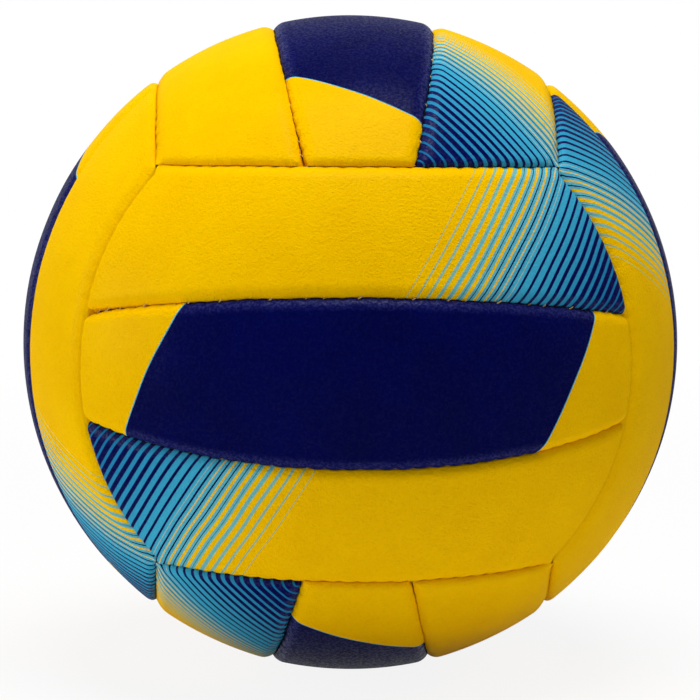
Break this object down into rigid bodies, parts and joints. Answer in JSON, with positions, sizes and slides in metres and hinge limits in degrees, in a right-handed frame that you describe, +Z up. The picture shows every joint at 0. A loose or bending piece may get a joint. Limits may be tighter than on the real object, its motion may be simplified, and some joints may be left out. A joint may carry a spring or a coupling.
{
  "type": "volleyball",
  "caption": "Inflated indoor volleyball: sewn synthetic leather panels in crossed groups of strips, padding, bladder and needle valve.",
  "frame": {"origin": "centre of the inflated ball", "axes": "+Z up and +Y away from the camera of the picture; the front face of three level strips looks along -Y, and the valve's needle hole opens along +Y"},
  "size_m": [0.21, 0.2099, 0.21],
  "materials": {
    "middle_leather": "soft matte synthetic leather, printed navy with yellow ends",
    "side_leather": "soft matte synthetic leather, yellow with printed blue bars at alternate corners",
    "padding": "fleece-backed foam",
    "thread": "waxed polyester thread",
    "bladder_rubber": "matte butyl rubber",
    "patch_cloth": "plain woven cotton",
    "valve_rubber": "soft moulded rubber",
    "core_rubber": "moulded silicone rubber"
  },
  "bodies": {
    "root": {"front_lower_skin": "side_leather", "front_middle_skin": "middle_leather", "front_upper_skin": "side_leather", "back_lower_skin": "side_leather", "back_middle_skin": "middle_leather", "back_upper_skin": "side_leather", "bottom_left_skin": "side_leather", "bottom_middle_skin": "middle_leather", "bottom_right_skin": "side_leather", "top_left_skin": "side_leather", "top_middle_skin": "middle_leather", "top_right_skin": "side_leather", "left_front_skin": "side_leather", "left_middle_skin": "middle_leather", "left_rear_skin": "side_leather", "right_front_skin": "side_leather", "right_middle_skin": "middle_leather", "right_rear_skin": "side_leather", "front_lower_pad": "padding", "front_middle_pad": "padding", "front_upper_pad": "padding", "back_lower_pad": "padding", "back_middle_pad": "padding", "back_upper_pad": "padding", "bottom_left_pad": "padding", "bottom_middle_pad": "padding", "bottom_right_pad": "padding", "top_left_pad": "padding", "top_middle_pad": "padding", "top_right_pad": "padding", "left_front_pad": "padding", "left_middle_pad": "padding", "left_rear_pad": "padding", "right_front_pad": "padding", "right_middle_pad": "padding", "right_rear_pad": "padding", "front_thread": "thread", "back_thread": "thread", "bottom_thread": "thread", "top_thread": "thread", "left_thread": "thread", "right_thread": "thread", "bladder": "bladder_rubber", "valve_patch": "patch_cloth", "valve_housing": "valve_rubber", "valve_core": "core_rubber"}
  },
  "joints": []
}
